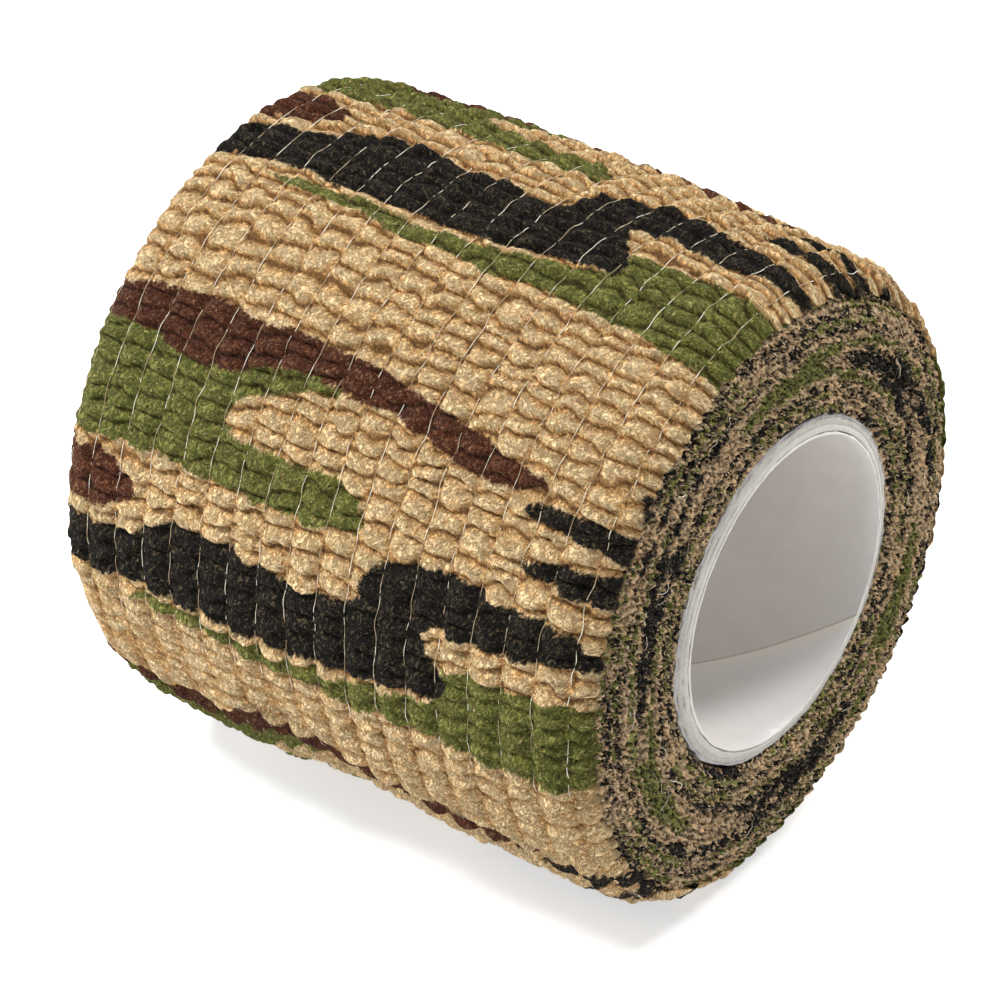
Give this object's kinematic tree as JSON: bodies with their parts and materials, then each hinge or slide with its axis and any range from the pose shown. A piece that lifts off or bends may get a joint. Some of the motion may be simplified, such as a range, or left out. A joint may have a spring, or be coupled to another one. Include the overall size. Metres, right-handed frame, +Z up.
{
  "type": "cohesive wrap roll",
  "caption": "Roll of crinkled, camouflage-print cohesive wrap on a short paper core, lying on its side, with a free cut tail that peels off the roll.",
  "frame": {"origin": "on the floor under the middle of the roll, which lies on its side", "axes": "+X along the roll's axis towards the end face that the picture shows, +Z up, -Y the side that the free tail comes down"},
  "size_m": [0.05, 0.05, 0.0496],
  "materials": {
    "tape_fabric": "matt crinkled non-woven, camouflage print in tan, olive green, brown and black",
    "elastic_thread": "satin, off-white",
    "liner_paper": "gloss coated white",
    "core_board": "matt cream",
    "cover_paper": "matt bluish white",
    "glue": "satin, yellowish"
  },
  "bodies": {
    "roll": {"core_liner_ply": "liner_paper", "core_board_ply_inner": "core_board", "core_board_ply_outer": "core_board", "core_cover_ply": "cover_paper", "start_glue_strip": "glue", "tape_winding": "tape_fabric", "tape_outer_turn": "tape_fabric", "elastic_thread_01": "elastic_thread", "elastic_thread_02": "elastic_thread", "elastic_thread_03": "elastic_thread", "elastic_thread_04": "elastic_thread", "elastic_thread_05": "elastic_thread", "elastic_thread_06": "elastic_thread", "elastic_thread_07": "elastic_thread", "elastic_thread_08": "elastic_thread", "elastic_thread_09": "elastic_thread", "elastic_thread_10": "elastic_thread", "elastic_thread_11": "elastic_thread", "elastic_thread_12": "elastic_thread", "elastic_thread_13": "elastic_thread", "elastic_thread_14": "elastic_thread", "elastic_thread_15": "elastic_thread", "elastic_thread_16": "elastic_thread", "elastic_thread_17": "elastic_thread", "elastic_thread_18": "elastic_thread"},
    "tail_base": {"tape_tail_base": "tape_fabric", "tail_thread_01": "elastic_thread", "tail_thread_02": "elastic_thread", "tail_thread_03": "elastic_thread", "tail_thread_04": "elastic_thread", "tail_thread_05": "elastic_thread", "tail_thread_06": "elastic_thread", "tail_thread_07": "elastic_thread", "tail_thread_08": "elastic_thread", "tail_thread_09": "elastic_thread", "tail_thread_10": "elastic_thread", "tail_thread_11": "elastic_thread", "tail_thread_12": "elastic_thread", "tail_thread_13": "elastic_thread", "tail_thread_14": "elastic_thread", "tail_thread_15": "elastic_thread", "tail_thread_16": "elastic_thread", "tail_thread_17": "elastic_thread", "tail_thread_18": "elastic_thread"},
    "tail_tip": {"tape_tail_tip": "tape_fabric"}
  },
  "joints": [
    {"name": "tail_peel", "type": "hinge", "parent": "roll", "child": "tail_base", "pos_m": [0, -0.01989, 0.04004], "axis": [-1, 0, 0], "range_deg": [0, 45]},
    {"name": "tail_curl", "type": "hinge", "parent": "tail_base", "child": "tail_tip", "pos_m": [0, -0.02498, 0.02134], "axis": [-1, 0, 0], "range_deg": [0, 45]}
  ],
  "couplings": [
    {"joint": "tail_curl", "follows": "tail_peel", "ratio": 1}
  ]
}
